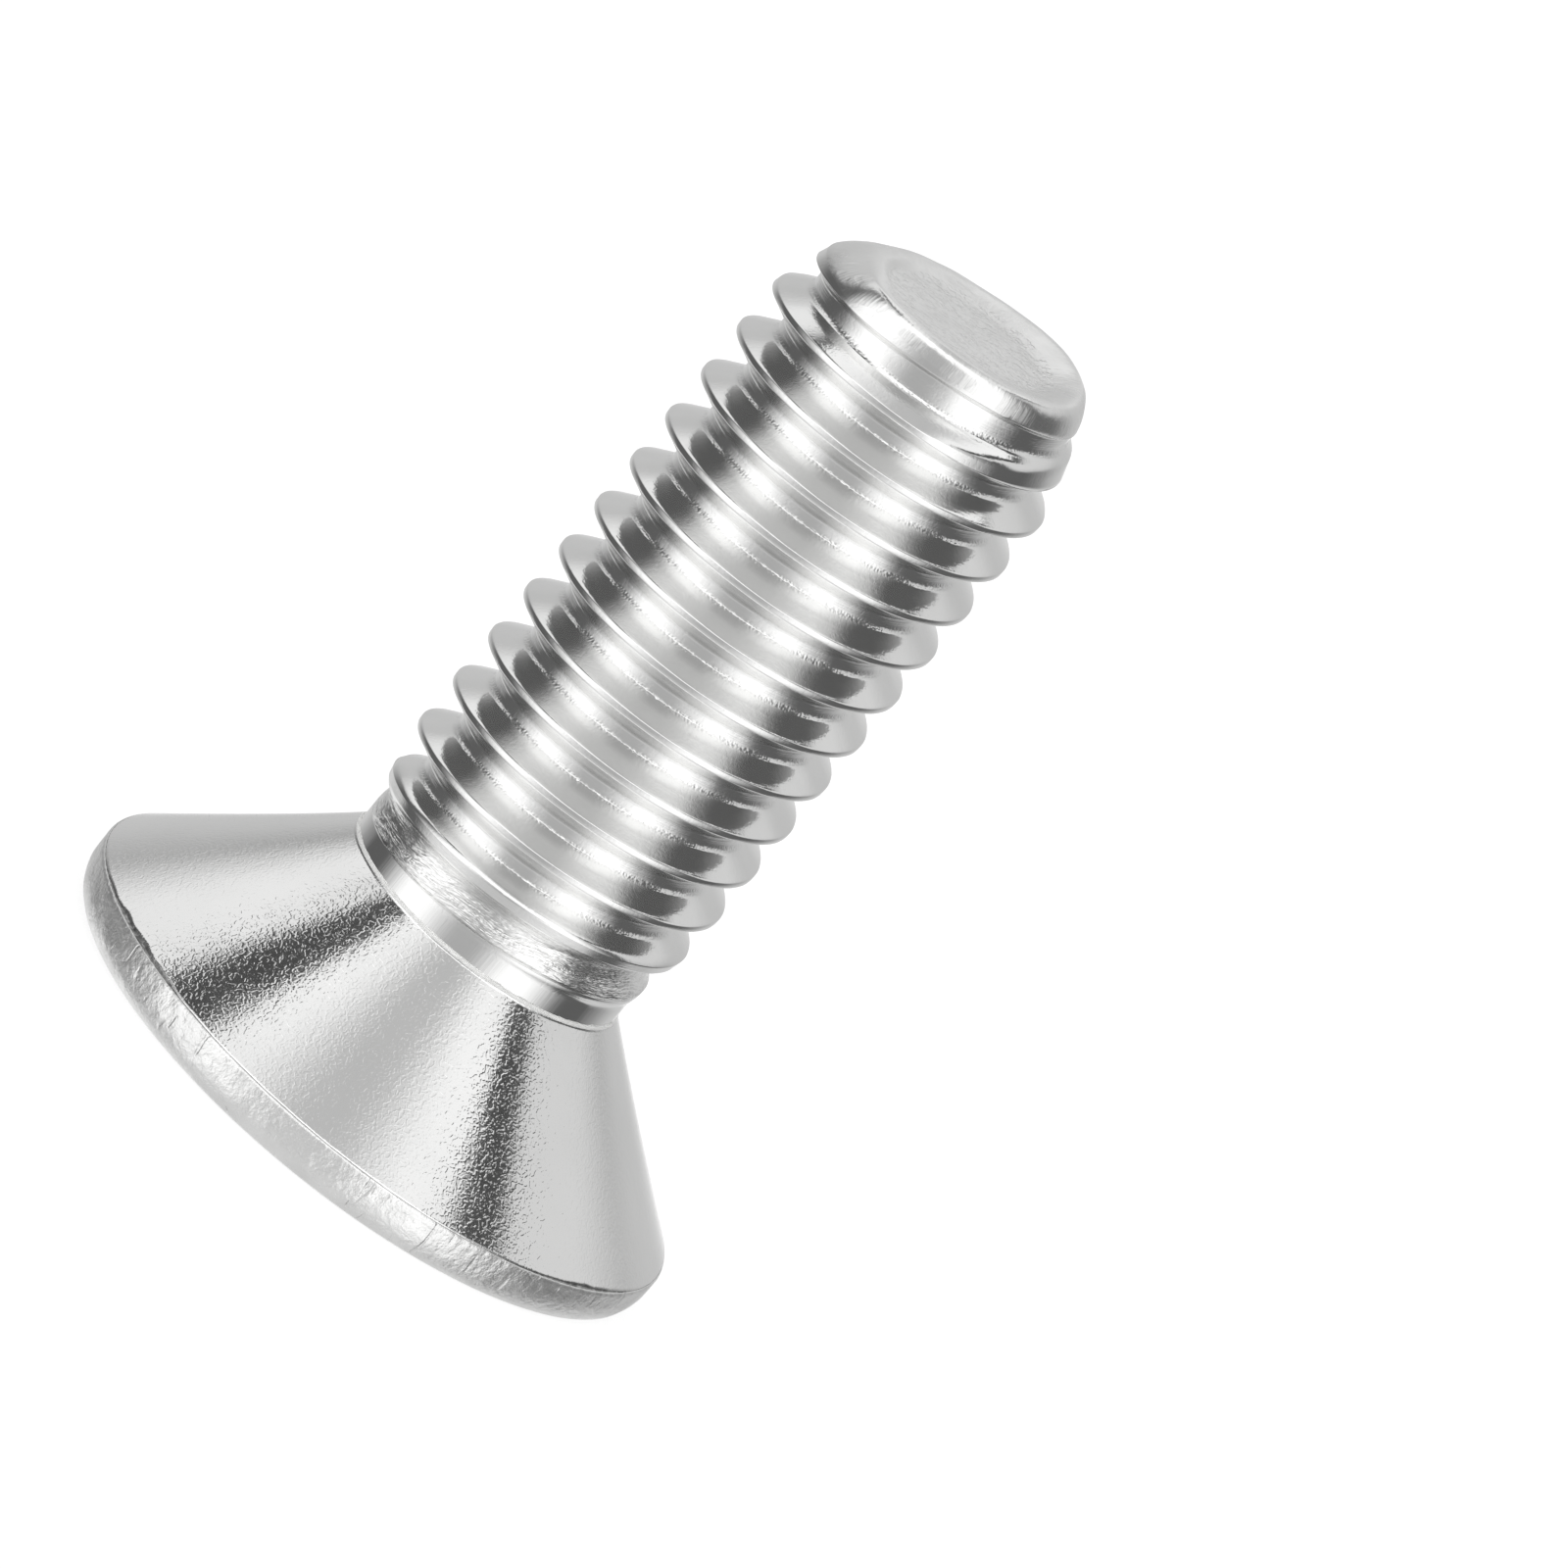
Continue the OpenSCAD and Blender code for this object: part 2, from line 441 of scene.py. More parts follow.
def rod_columns():
    """For each column, its places along the plain helix and the heights where the lip puts them."""
    rows = helix_rows()
    columns = []
    for angle in ANGLES:
        plain = rows + PITCH * (THREAD_TURN / 360 + angle / (2 * math.pi) - 1)
        z = plain
        for _ in range(LIP_ROUNDS):
            z = plain + lip_shift(angle, z)
        inside = (z > GROOVE_Z) & (z < rim_z(angle) - TOP_GAP)
        columns.append((plain[inside], z[inside]))
    return columns


def column_points(angle, z):
    r = rolled_rod_r(angle, z)
    return np.stack([r * math.cos(angle), r * math.sin(angle), z], axis=1)


def rim_z(angle):
    """Height at which the rim starts to turn inwards."""
    return RIM_Z - RIM_DROP - WORN_DROP * rim_wear(angle)


def rim_lift():
    """How far the rim stands above the overall length."""
    tilt = RIM_TILT * np.cos(ANGLES - RIM_TILT_AT)
    shape = tilt - hump_at(ANGLES, RIM_DIP) + hump_at(ANGLES, RIM_HUMP)
    return shape + uneven_ring(RIM_WAVES_R, 0, RIM_WAVES)


def rounding_width():
    """How far the rounding of the rim reaches inwards."""
    worn = WORN_WIDTH * rim_wear(ANGLES, WORN_WIDTH_FADE)
    return RIM_ROUND + worn + uneven_ring(RIM_UNEVEN_R, 0, RIM_UNEVEN)


def rounding_rings(rim, start_z, height, width):
    """Rounding of the rim, which starts with a sharp bend where it is worn."""
    first_bend = WORN_BEND * np.minimum(WORN_BEND_GAIN * rim_wear(ANGLES), 1)
    rings = []
    for share in spread(0, 1, ROUNDING_STEPS):
        bend = first_bend + (math.pi / 2 - first_bend) * share
        r = rim - width * (np.cos(first_bend) - np.cos(bend)) / np.cos(first_bend)
        rise = (np.sin(bend) - np.sin(first_bend)) / (1 - np.sin(first_bend))
        rings.append(ring(r, start_z + height * rise))
    return rings


def dish_rings(inner, lift):
    """Dished end, down to its uneven floor, where the rim's lift dies out."""
    rings = []
    for share in spread(0, 1, DISH_STEPS):
        r = inner + (FLOOR_R - inner) * share
        z = LENGTH + lift * (1 - (1 - FLOOR_LIFT) * share) - DISH * smooth_step(share)
        rings.append(ring(r, z))
    for share in spread(0, FLOOR_END, FLOOR_STEPS):
        r = FLOOR_R * (1 - share)
        z = LENGTH + lift * FLOOR_LIFT * (1 - share) - DISH + uneven_ring(r, 0, FLOOR_BUMPS)
        rings.append(ring(r, z))
    return rings


def tip_rings():
    """Rings of the rim and the dished end, from the rim inwards."""
    start_z = rim_z(ANGLES)
    rim = rolled_rod_r(ANGLES, start_z)
    lift = rim_lift()
    width = rounding_width()
    rounding = rounding_rings(rim, start_z, LENGTH - start_z + lift, width)
    return [ring(rim, start_z)] + rounding + dish_rings(rim - width, lift)


def ladder(left, right, left_z, right_z):
    """Triangles between two columns of points, taking the lower next point each time."""
    faces = []
    a, b = 0, 0
    while a < len(left) - 1 or b < len(right) - 1:
        left_done = a == len(left) - 1
        right_done = b == len(right) - 1
        if right_done or (not left_done and left_z[a + 1] <= right_z[b + 1] + SAME_HEIGHT):
            faces.append((left[a], right[b], left[a + 1]))
            a += 1
        else:
            faces.append((left[a], right[b], right[b + 1]))
            b += 1
    return faces


class Skin:
    """Points and faces of the screw, as they are added from the socket to the tip."""

    def __init__(self):
        self.points = []
        self.count = 0
        self.faces = []
        self.zones = []

    def add_points(self, points):
        first = self.count
        self.points.append(points)
        self.count += len(points)
        return first

    def add_faces(self, faces, zone):
        self.faces.extend(faces)
        self.zones.extend([zone] * len(faces))

    def add_strip(self, inner, outer, zone):
        following = [(i + 1) % COLUMNS for i in range(COLUMNS)]
        quads = [(inner + i, inner + k, outer + k, outer + i) for i, k in enumerate(following)]
        self.add_faces(quads, zone)

    def add_fan(self, centre, first, zone, upwards):
        for i in range(COLUMNS):
            k = (i + 1) % COLUMNS
            edge = (first + i, first + k) if upwards else (first + k, first + i)
            self.add_faces([(centre,) + edge], zone)


def add_head(skin):
    """Socket, head and neck; gives the number of the first point of their last ring."""
    apex = skin.add_points(np.array([[0, 0, APEX_Z]]))
    head = face_rings() + edge_rings() + band_rings() + seam_rings() + cone_rings()
    rings = socket_rings() + head + bead_rings() + neck_rings()
    starts = [skin.add_points(points) for points, zone in rings]
    skin.add_fan(apex, starts[0], "socket", False)
    for n in range(1, len(rings)):
        skin.add_strip(starts[n - 1], starts[n], rings[n][1])
    return starts[-1]


def add_thread(skin, columns, column_starts, neck, rim):
    """Strips between neighbouring columns, each from the neck's last ring to the rim's first."""
    chains = []
    places = []
    for i, (plain, z) in enumerate(columns):
        inside = list(range(column_starts[i], column_starts[i] + len(z)))
        chains.append([neck + i] + inside + [rim + i])
        top_z = rim_z(ANGLES[i])
        plain_top = top_z - lip_shift(ANGLES[i], top_z)
        places.append(np.concatenate([[NECK_END_Z], plain, [plain_top]]))
    climb = PITCH / COLUMNS
    for i in range(COLUMNS):
        k = (i + 1) % COLUMNS
        rungs = ladder(chains[i], chains[k], places[i], places[k] - climb)
        skin.add_faces(rungs, "thread")


def screw_skin():
    """The whole screw as one closed skin, with a zone name for each face."""
    skin = Skin()
    neck = add_head(skin)
    columns = rod_columns()
    column_starts = []
    for angle, (plain, z) in zip(ANGLES, columns):
        column_starts.append(skin.add_points(column_points(angle, z)))
    tip = [skin.add_points(points) for points in tip_rings()]
    centre = skin.add_points(np.array([[0, 0, LENGTH - DISH]]))
    add_thread(skin, columns, column_starts, neck, tip[0])
    for n in range(1, len(tip)):
        skin.add_strip(tip[n - 1], tip[n], "rim" if n <= RIM_STRIPS else "tip")
    skin.add_fan(centre, tip[-1], "tip", True)
    return np.concatenate(skin.points), skin.faces, skin.zones


def build_screw(materials):
    points, faces, zones = screw_skin()
    mesh = bpy.data.meshes.new("screw_skin")
    mesh.from_pydata((points * MM).tolist(), [], faces)
    names = list(materials)
    for name in names:
        mesh.materials.append(materials[name])
    numbers = np.array([names.index(z) for z in zones], dtype=np.int32)
    mesh.polygons.foreach_set("material_index", numbers)
    mesh.polygons.foreach_set("use_smooth", np.ones(len(faces), dtype=bool))
    mesh.update()
    screw = bpy.data.objects.new("screw_skin", mesh)
    bpy.context.scene.collection.objects.link(screw)
    return screw


# Shader nodes

def feed(tree, socket, value):
    """Gives an input socket a number or another node's output."""
    if isinstance(value, (int, float)):
        socket.default_value = value
    else:
        tree.links.new(value, socket)


def math_node(tree, operation, first, second=None):
    """A Math node on sockets or numbers; gives its output socket."""
    node = tree.nodes.new("ShaderNodeMath")
    node.operation = operation
    feed(tree, node.inputs[0], first)
    if second is not None:
        feed(tree, node.inputs[1], second)
    return node.outputs[0]


def plus(tree, first, second):
    return math_node(tree, "ADD", first, second)


def minus(tree, first, second):
    return math_node(tree, "SUBTRACT", first, second)


def times(tree, first, second):
    return math_node(tree, "MULTIPLY", first, second)


def over(tree, first, second):
    return math_node(tree, "DIVIDE", first, second)


def apart(tree, first, second):
    """Distance between two values."""
    return math_node(tree, "ABSOLUTE", minus(tree, first, second))


def soft_range(tree, value, low_end, high_end, to_low=0.0, to_high=1.0):
    """A smooth ramp of a value, which may run downwards."""
    node = tree.nodes.new("ShaderNodeMapRange")
    node.interpolation_type = "SMOOTHSTEP"
    tree.links.new(value, node.inputs["Value"])
    node.inputs["From Min"].default_value = low_end
    node.inputs["From Max"].default_value = high_end
    node.inputs["To Min"].default_value = to_low
    node.inputs["To Max"].default_value = to_high
    return node.outputs["Result"]


def mix_values(tree, share, first, second):
    node = tree.nodes.new("ShaderNodeMix")
    feed(tree, node.inputs["Factor"], share)
    feed(tree, node.inputs["A"], first)
    feed(tree, node.inputs["B"], second)
    return node.outputs["Result"]


# Studio: how bright its parts are, where 1 is white
CAMERA_SIDE = 0.46
SOFT_BOX = 1.32
DARK_FLAG = 0.12
BACKDROP_EDGE = 0.58
BACKDROP_MIDDLE = 1.08
CEILING_MIDDLE = 0.55
CEILING_BOX = 1.02
CEILING_FLAG = 0.07
HIGH_LEFT = 0.92
HIGH_RIGHT = 0.72
BELOW = 0.66
BELOW_LEFT = 1.0
BELOW_RIGHT = 0.75

# Where they start and are full, in degrees turned away from the camera's side or risen
STUDIO_TURN = 3.0
CAMERA_SIDE_TURN = (46, 6)
CAMERA_SIDE_RISE = (40, 30)
DARK_FLAG_TURN = (50, 93)
BACKDROP_TURN = (112, 160)
MIDDLE_TURN = (165, 180)
MIDDLE_RISE = 4.0
MIDDLE_OFF_RISE = (10, 22)
MIDDLE_LEAST = 0.3
BEHIND_TURN = (98, 110)
HIGH_RISE = (16, 24)
HIGH_FULL_RISE = (20, 34)
OVERHEAD_RISE = (60, 66)
UNDER_RISE = (-18, -52)
GLOW_TURN = (95, 125)
GLOW_RISE = (-62, -48)

# At the sides the ceiling and the floor lie lower by so many degrees; behind, the floor rises again
SIDE_TURN = (70, 88)
SIDE_LOWER = 18
BACK_TURN = (98, 120)
BACK_HIGHER = 26

# Across the studio from left to right, which on the ceiling is for each unit of height
LEFT_TO_RIGHT = (-0.4, 0.4)
LEAST_HEIGHT = 0.05
CEILING_BOX_LEAN = (0.05, 0.38)
FLAGS_MIDDLE = 0.03
FLAGS_LEAN = (0.49, 0.57)
CEILING_END_LEAN = (0.72, 0.82)


def wall_light(tree, turned, rise):
    """Walls by degrees from the camera's side: a soft box, a dark flag, then the backdrop."""
    facing = soft_range(tree, turned, *CAMERA_SIDE_TURN)
    near_camera = times(tree, facing, soft_range(tree, rise, *CAMERA_SIDE_RISE))
    box = mix_values(tree, near_camera, SOFT_BOX, CAMERA_SIDE)
    flagged = mix_values(tree, soft_range(tree, turned, *DARK_FLAG_TURN), box, DARK_FLAG)
    edge = soft_range(tree, turned, *BACKDROP_TURN, 0, BACKDROP_EDGE - DARK_FLAG)
    middle = soft_range(tree, turned, *MIDDLE_TURN, 0, BACKDROP_MIDDLE - BACKDROP_EDGE)
    off_rise = soft_range(tree, apart(tree, rise, MIDDLE_RISE), *MIDDLE_OFF_RISE, MIDDLE_LEAST, 1)
    return plus(tree, flagged, plus(tree, edge, times(tree, middle, off_rise)))


def ceiling_light(tree, leaning, beyond):
    """Overhead, by distance to the right for each unit of height: soft boxes and narrow flags."""
    sideways = math_node(tree, "ABSOLUTE", leaning)
    box = soft_range(tree, sideways, *CEILING_BOX_LEAN, CEILING_MIDDLE, CEILING_BOX)
    in_flag = soft_range(tree, apart(tree, leaning, FLAGS_MIDDLE), *FLAGS_LEAN)
    flagged = mix_values(tree, in_flag, box, CEILING_FLAG)
    return mix_values(tree, soft_range(tree, sideways, *CEILING_END_LEAN), flagged, beyond)


def ground_light(tree, x, turned, rise):
    """From below: a glow behind the screw, brighter on the left."""
    shallow = times(tree, soft_range(tree, turned, *GLOW_TURN), soft_range(tree, rise, *GLOW_RISE))
    glow = soft_range(tree, x, *LEFT_TO_RIGHT, BELOW_LEFT, BELOW_RIGHT)
    return mix_values(tree, shallow, BELOW, glow)


def build_world():
    """The studio around the screw, which the camera and the metal see alike."""
    world = bpy.data.worlds.new("studio")
    world.use_nodes = True
    tree = world.node_tree
    place = tree.nodes.new("ShaderNodeTexCoord")
    parts = tree.nodes.new("ShaderNodeSeparateXYZ")
    tree.links.new(place.outputs["Generated"], parts.inputs[0])
    x, y, z = parts.outputs
    around = math_node(tree, "DEGREES", math_node(tree, "ARCTAN2", x, times(tree, y, -1.0)))
    turned = math_node(tree, "ABSOLUTE", plus(tree, around, STUDIO_TURN))
    rise = math_node(tree, "DEGREES", math_node(tree, "ARCSINE", z))
    leaning = over(tree, x, math_node(tree, "MAXIMUM", z, LEAST_HEIGHT))

    light = wall_light(tree, turned, rise)
    behind = soft_range(tree, turned, *BEHIND_TURN)
    high_behind = times(tree, behind, soft_range(tree, rise, *HIGH_RISE))
    high_light = soft_range(tree, x, *LEFT_TO_RIGHT, HIGH_LEFT, HIGH_RIGHT)
    backdrop = mix_values(tree, soft_range(tree, rise, *HIGH_FULL_RISE), BACKDROP_EDGE, high_light)
    light = mix_values(tree, high_behind, light, backdrop)

    lowered = soft_range(tree, turned, *SIDE_TURN, 0, SIDE_LOWER)
    overhead = soft_range(tree, plus(tree, rise, lowered), *OVERHEAD_RISE)
    light = mix_values(tree, overhead, light, ceiling_light(tree, leaning, high_light))

    shifted = plus(tree, lowered, soft_range(tree, turned, *BACK_TURN, 0, -BACK_HIGHER))
    under = soft_range(tree, plus(tree, rise, shifted), *UNDER_RISE)
    light = mix_values(tree, under, light, ground_light(tree, x, turned, rise))
    tree.links.new(light, tree.nodes["Background"].inputs["Color"])
    bpy.context.scene.world = world


# Table: a white disc that curls up around the screw and is the backdrop as well, in metres
TABLE_R = 0.6
CURL_R = 0.2
CURL_BENDS = range(0, 80, 15)
TABLE_COLUMNS = 64
TABLE_GAP = 0.01 * MM
TABLE_GREY = 0.4
TABLE_GLOW = 0.75


def table_mesh():
    bends = [math.radians(a) for a in CURL_BENDS]
    outline = [(TABLE_R + CURL_R * math.sin(a), CURL_R * (1 - math.cos(a))) for a in bends]
    turns = [2 * math.pi * i / TABLE_COLUMNS for i in range(TABLE_COLUMNS)]
    points = [(r * math.cos(t), r * math.sin(t), z) for r, z in outline for t in turns]
    faces = [tuple(range(TABLE_COLUMNS))]
    for row in range(len(outline) - 1):
        here = row * TABLE_COLUMNS
        above = here + TABLE_COLUMNS
        for i in range(TABLE_COLUMNS):
            k = (i + 1) % TABLE_COLUMNS
            faces.append((here + i, above + i, above + k, here + k))
    mesh = bpy.data.meshes.new("table")
    mesh.from_pydata(points, [], faces)
    return mesh


def table_white():
    """White that keeps the screw's soft shadow; clear from below, so that the face can be seen."""
    material = bpy.data.materials.new("table_white")
    material.use_nodes = True
    tree = material.node_tree
    tree.nodes.clear()
    glow = tree.nodes.new("ShaderNodeEmission")
    matte = tree.nodes.new("ShaderNodeBsdfDiffuse")
    clear = tree.nodes.new("ShaderNodeBsdfTransparent")
    body = tree.nodes.new("ShaderNodeAddShader")
    sides = tree.nodes.new("ShaderNodeMixShader")
    place = tree.nodes.new("ShaderNodeNewGeometry")
    out = tree.nodes.new("ShaderNodeOutputMaterial")
    matte.inputs["Color"].default_value = (TABLE_GREY, TABLE_GREY, TABLE_GREY, 1)
    glow.inputs["Strength"].default_value = TABLE_GLOW
    tree.links.new(glow.outputs[0], body.inputs[0])
    tree.links.new(matte.outputs[0], body.inputs[1])
    tree.links.new(place.outputs["Backfacing"], sides.inputs["Fac"])
    tree.links.new(body.outputs[0], sides.inputs[1])
    tree.links.new(clear.outputs[0], sides.inputs[2])
    tree.links.new(sides.outputs[0], out.inputs["Surface"])
    return material


def build_table():
    """The table stays out of the metal's reflections and casts no shadow."""
    mesh = table_mesh()
    mesh.materials.append(table_white())
    table = bpy.data.objects.new("table", mesh)
    table.location.z = -TABLE_GAP
    bpy.context.scene.collection.objects.link(table)
    table.visible_glossy = False
    table.visible_shadow = False


# Camera: where the photograph was taken from, with the middle of the screw at this pixel of it
CAMERA_DISTANCE = 280
CAMERA_RISE = math.radians(16.4)
SCREW_LEAN = math.radians(39.2)
PICTURE_W = 1600
PIXELS_PER_MM = 74.6
MIDDLE_Z = 7
MIDDLE_PIXEL = (674, 721)
SENSOR = 36
CLIP_START = 0.01


def add_camera():
    up = Vector((0, math.sin(CAMERA_RISE), math.cos(CAMERA_RISE)))
    side = Vector((1, 0, 0))
    back = Vector((0, -math.cos(CAMERA_RISE), math.sin(CAMERA_RISE)))
    right_axis = side * math.cos(SCREW_LEAN) + up * math.sin(SCREW_LEAN)
    up_axis = up * math.cos(SCREW_LEAN) - side * math.sin(SCREW_LEAN)
    across = (PICTURE_W / 2 - MIDDLE_PIXEL[0]) / PIXELS_PER_MM
    above = (MIDDLE_PIXEL[1] - PICTURE_W / 2) / PIXELS_PER_MM
    aim = Vector((0, 0, MIDDLE_Z)) + right_axis * across + up_axis * above
    data = bpy.data.cameras.new("camera")
    data.sensor_width = SENSOR
    data.lens = CAMERA_DISTANCE * PIXELS_PER_MM / PICTURE_W * SENSOR
    data.clip_start = CLIP_START
    camera = bpy.data.objects.new("camera", data)
    bpy.context.scene.collection.objects.link(camera)
    turn = Matrix((right_axis, up_axis, back)).transposed().to_4x4()
    camera.matrix_world = Matrix.Translation((aim + back * CAMERA_DISTANCE) * MM) @ turn
    bpy.context.scene.camera = camera


# Effects that the steels share

def new_effect(name, inputs, outputs):
    """An empty node group with number inputs and outputs, for an effect that materials share."""
    tree = bpy.data.node_groups.new(name, "ShaderNodeTree")
    for label, value in inputs.items():
        socket = tree.interface.new_socket(label, in_out="INPUT", socket_type="NodeSocketFloat")
        socket.default_value = value
    for label in outputs:
        kind = "NodeSocketColor" if label == "Tone" else "NodeSocketFloat"
        tree.interface.new_socket(label, in_out="OUTPUT", socket_type=kind)
    given = tree.nodes.new("NodeGroupInput").outputs
    result = tree.nodes.new("NodeGroupOutput").inputs
    return tree, given, result


def place_effect(tree, effect, **values):
    """One use of an effect in a material, with its own values; gives its outputs."""
    node = tree.nodes.new("ShaderNodeGroup")
    node.node_tree = effect
    for label, value in values.items():
        node.inputs[label.capitalize()].default_value = value
    return node.outputs


def place_in_mm(tree):
    """X, Y and Z of the surface in millimetres."""
    place = tree.nodes.new("ShaderNodeTexCoord")
    scaled = tree.nodes.new("ShaderNodeVectorMath")
    scaled.operation = "SCALE"
    scaled.inputs["Scale"].default_value = 1 / MM
    parts = tree.nodes.new("ShaderNodeSeparateXYZ")
    tree.links.new(place.outputs["Object"], scaled.inputs[0])
    tree.links.new(scaled.outputs[0], parts.inputs[0])
    return parts.outputs


def scale_place(tree, place, share):
    """X, Y and Z times one number or socket."""
    return [times(tree, part, share) for part in place]


def place_by_size(tree, size):
    """X, Y and Z of the surface in steps of this size."""
    return scale_place(tree, place_in_mm(tree), over(tree, 1.0, size))


def noise_at(tree, x, y, z, detail=2.0, roughness=0.5):
    """Noise at a place made of three values; gives a value around one half."""
    joined = tree.nodes.new("ShaderNodeCombineXYZ")
    for socket, value in zip(joined.inputs, (x, y, z)):
        feed(tree, socket, value)
    node = tree.nodes.new("ShaderNodeTexNoise")
    node.inputs["Scale"].default_value = 1
    node.inputs["Detail"].default_value = detail
    node.inputs["Roughness"].default_value = roughness
    tree.links.new(joined.outputs[0], node.inputs["Vector"])
    return node.outputs["Fac"]


def radius_at(tree, x, y):
    return math_node(tree, "SQRT", plus(tree, times(tree, x, x), times(tree, y, y)))


def thread_phase(tree, x, y, z):
    """Turn of the helix at this place, as an angle that is 0 on the crest."""
    around = math_node(tree, "ARCTAN2", y, x)
    lead = times(tree, z, 2 * math.pi / PITCH)
    return minus(tree, minus(tree, lead, math.radians(THREAD_TURN)), around)


def nearness(tree, phase, above_crest):
    """1 at this height above the crest, falling to -1 half a pitch away."""
    turn = 2 * math.pi * above_crest / PITCH
    return math_node(tree, "COSINE", minus(tree, phase, turn))


def make_grain():
    """Worm-like grain of bright plated steel: soft dimples with fine raised worms between them."""
    worm_middle, worm_width = 0.5, 0.13
    inputs = {"Size": 0.08, "Dimples": 0.003, "Worms": 0.002}
    tree, given, result = new_effect("grain", inputs, ["Height"])
    field = noise_at(tree, *place_by_size(tree, given["Size"]), detail=1.0)
    dimples = times(tree, field, given["Dimples"])
    worm = soft_range(tree, apart(tree, field, worm_middle), worm_width, 0)
    worms = times(tree, worm, given["Worms"])
    tree.links.new(plus(tree, dimples, worms), result["Height"])
    return tree


def make_drawn_lines():
    """Fine lines that run up the screw, as a die leaves them; they spread apart on the cone."""
    inputs = {"Count": 60.0, "Length": 1.2, "Depth": 0.004}
    tree, given, result = new_effect("drawn_lines", inputs, ["Height"])
    x, y, z = place_in_mm(tree)
    count = over(tree, given["Count"], radius_at(tree, x, y))
    x, y = times(tree, x, count), times(tree, y, count)
    z = over(tree, z, given["Length"])
    lines = noise_at(tree, x, y, z, detail=2.0, roughness=0.6)
    tree.links.new(times(tree, lines, given["Depth"]), result["Height"])
    return tree


def make_rolled_lines():
    """Lines that the rolling dies leave along the helix, with rough corners at the root."""
    root_at, root_near, flank_depth = 0.44, (0.2, 0.85), 0.25
    corner_at, corner_near, beads_for_mm = 0.31, (0.93, 0.99), 26.0
    drift_x, drift_y = 0.9, 1.7
    inputs = {"Width": 0.03, "Depth": 0.004, "Burr": 0.004}
    tree, given, result = new_effect("rolled_lines", inputs, ["Height"])
    x, y, z = place_in_mm(tree)
    phase = thread_phase(tree, x, y, z)
    reach = over(tree, PITCH / (2 * math.pi), given["Width"])
    across = times(tree, math_node(tree, "COSINE", phase), reach)
    along = times(tree, math_node(tree, "SINE", phase), reach)
    drift = plus(tree, times(tree, x, drift_x), times(tree, y, drift_y))
    lines = noise_at(tree, across, along, drift, detail=2.0, roughness=0.6)
    at_root = soft_range(tree, nearness(tree, phase, root_at), *root_near, flank_depth, 1)
    height = times(tree, lines, times(tree, at_root, given["Depth"]))
    at_corner = soft_range(tree, nearness(tree, phase, corner_at), *corner_near)
    beads = noise_at(tree, *scale_place(tree, (x, y, z), beads_for_mm), detail=0.0)
    burr = times(tree, times(tree, beads, at_corner), given["Burr"])
    tree.links.new(plus(tree, height, burr), result["Height"])
    return tree


def make_folds():
    """Smeared folds of metal where the rolling dies start, between two heights."""
    tilt, fade_in, fade_out = 0.05, (-0.02, 0.04), (-0.1, 0.1)
    around, upwards, slant = 1.5, 12.0, 1.6
    wave_upwards, wave_height = 2.0, 3.0
    inputs = {"Start": 3.5, "End": 4.1, "Depth": 0.03}
    tree, given, result = new_effect("folds", inputs, ["Height"])
    x, y, z = place_in_mm(tree)
    tilted = minus(tree, z, times(tree, x, tilt))
    started = soft_range(tree, minus(tree, tilted, given["Start"]), *fade_in)
    not_ended = soft_range(tree, minus(tree, given["End"], tilted), *fade_out)
    wave = noise_at(tree, x, y, times(tree, z, wave_upwards), detail=1.0)
    bent = plus(tree, times(tree, z, upwards), times(tree, wave, wave_height))
    slanted = minus(tree, bent, times(tree, x, slant))
    x, y = times(tree, x, around), times(tree, y, around)
    streaks = noise_at(tree, x, y, slanted, detail=3.0, roughness=0.6)
    depth = times(tree, given["Depth"], times(tree, started, not_ended))
    tree.links.new(times(tree, streaks, depth), result["Height"])
    return tree


def make_lumps():
    """Shallow forged lumps with a few upright nicks."""
    nicks_around, nicks_upwards, nick_from = 6.0, 1.6, (0.64, 0.74)
    inputs = {"Size": 0.3, "Depth": 0.02, "Nicks": 0.01}
    tree, given, result = new_effect("lumps", inputs, ["Height"])
    lumps = noise_at(tree, *place_by_size(tree, given["Size"]), detail=4.0, roughness=0.62)
    height = times(tree, lumps, given["Depth"])
    x, y, z = place_in_mm(tree)
    x, y = times(tree, x, nicks_around), times(tree, y, nicks_around)
    upright = noise_at(tree, x, y, times(tree, z, nicks_upwards), detail=1.0)
    nick = times(tree, soft_range(tree, upright, *nick_from), given["Nicks"])
    tree.links.new(minus(tree, height, nick), result["Height"])
    return tree


def make_pits():
    """Small pits and dots pressed into a cut or forged face, more of them in some patches."""
    patch_share, limit_share, pit_edge = 0.22, 0.6, 0.12
    inputs = {"Size": 0.12, "Depth": 0.01, "Amount": 0.4}
    tree, given, result = new_effect("pits", inputs, ["Height"])
    place = place_by_size(tree, given["Size"])
    field = noise_at(tree, *place, detail=2.0, roughness=0.6)
    patches = noise_at(tree, *scale_place(tree, place, patch_share), detail=2.0)
    limit = minus(tree, 1.0, times(tree, given["Amount"], patches))
    past_limit = minus(tree, field, times(tree, limit, limit_share))
    pit = times(tree, soft_range(tree, past_limit, 0.0, pit_edge), given["Depth"])
    tree.links.new(times(tree, pit, -1.0), result["Height"])
    return tree


